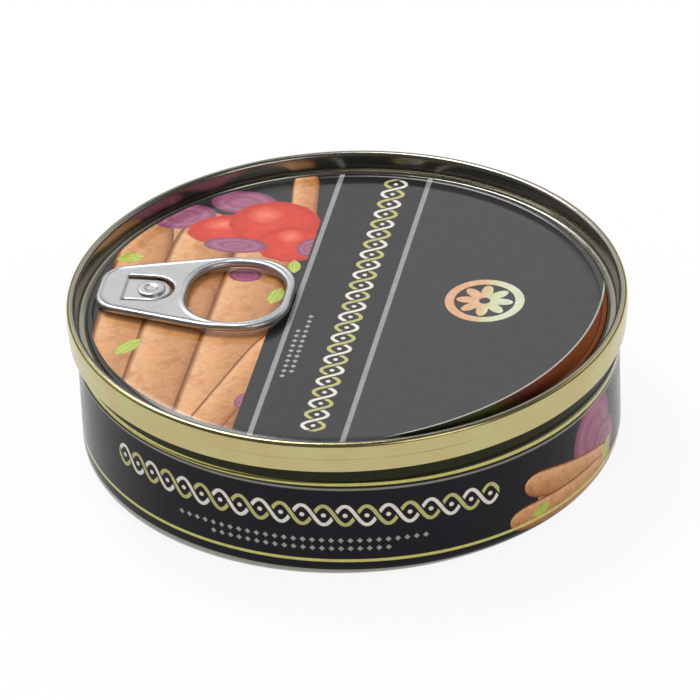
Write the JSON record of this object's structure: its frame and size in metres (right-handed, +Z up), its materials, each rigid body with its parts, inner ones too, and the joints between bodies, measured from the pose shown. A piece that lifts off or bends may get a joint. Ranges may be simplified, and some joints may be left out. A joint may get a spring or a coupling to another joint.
{
  "type": "tin of sprats",
  "caption": "Round shut fish tin: drawn body with printed side, seamed ring-pull end with a printed panel, gold lacquered rim and a bare pull tab.",
  "frame": {"origin": "centre of the underside, on the plane the tin stands on", "axes": "+Z up through the end; the pull tab lies along X with its nose towards -X"},
  "size_m": [0.1023, 0.1022, 0.0295],
  "materials": {
    "printed_tinplate": "glossy printed tinplate, dark grey",
    "gold_lacquer": "gold lacquered tinplate, satin gloss",
    "bare_aluminium": "satin rolled sheet"
  },
  "bodies": {
    "root": {"can_body": "printed_tinplate", "lid": "gold_lacquer", "tab": "bare_aluminium"}
  },
  "joints": []
}
